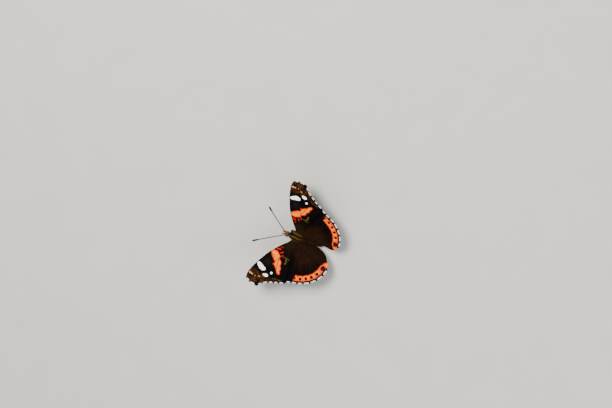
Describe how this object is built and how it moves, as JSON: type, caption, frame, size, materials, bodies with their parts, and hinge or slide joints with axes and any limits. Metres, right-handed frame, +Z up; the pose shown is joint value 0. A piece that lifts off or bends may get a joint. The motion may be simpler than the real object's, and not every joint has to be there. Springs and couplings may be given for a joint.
{
  "type": "red admiral butterfly",
  "caption": "Life-size butterfly with spread wings, long clubbed antennae and a raised body, standing still on four legs.",
  "frame": {"origin": "on the floor, under the middle of the model's box", "axes": "+Z up, head towards -Y, the butterfly's left side towards +X, the wings' span along X"},
  "size_m": [0.0642, 0.0418, 0.0168],
  "materials": {
    "wing": "matt scales over a thin membrane",
    "body_hair": "soft olive-brown hair",
    "abdomen": "dark red-brown scales",
    "eye": "glossy, finely faceted",
    "limb": "matt fine scales"
  },
  "bodies": {
    "root": {"thorax": "body_hair", "head": "body_hair", "abdomen": "abdomen", "eye_left": "eye", "eye_right": "eye", "palp_left": "limb", "palp_right": "limb", "proboscis": "limb", "antenna_left": "limb", "antenna_right": "limb", "forewing_left": "wing", "forewing_right": "wing", "hindwing_left": "wing", "hindwing_right": "wing", "foreleg_left": "limb", "foreleg_right": "limb", "midleg_left": "limb", "midleg_right": "limb", "hindleg_left": "limb", "hindleg_right": "limb"}
  },
  "joints": []
}
